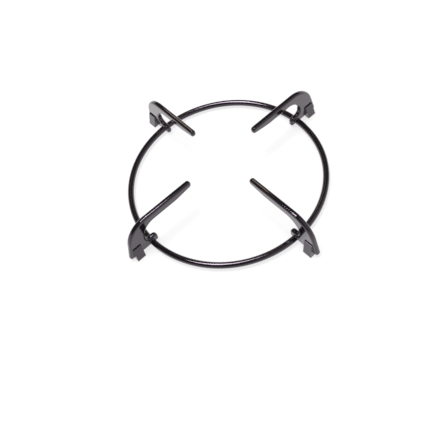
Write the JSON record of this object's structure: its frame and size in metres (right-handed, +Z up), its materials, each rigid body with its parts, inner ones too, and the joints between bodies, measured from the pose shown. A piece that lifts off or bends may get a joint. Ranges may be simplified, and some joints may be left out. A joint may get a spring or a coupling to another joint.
{
  "type": "hob pan support",
  "caption": "Gas hob pan support: a hoop of round wire carries upright plate fingers with bowed backs that point in over the burner and stand on tabs pressed out at their feet.",
  "frame": {"origin": "on the burner axis, at the level of the hob top that the tabs stand on", "axes": "+Z up along the burner axis; the fingers lie at 45 degrees to X and Y, and the part is mirror symmetric about the plane x = 0"},
  "size_m": [0.194, 0.194, 0.04],
  "materials": {
    "enamel": "gloss black vitreous enamel"
  },
  "bodies": {
    "root": {"ring": "enamel", "finger_rear_right": "enamel", "finger_rear_left": "enamel", "finger_front_left": "enamel", "finger_front_right": "enamel"}
  },
  "joints": []
}
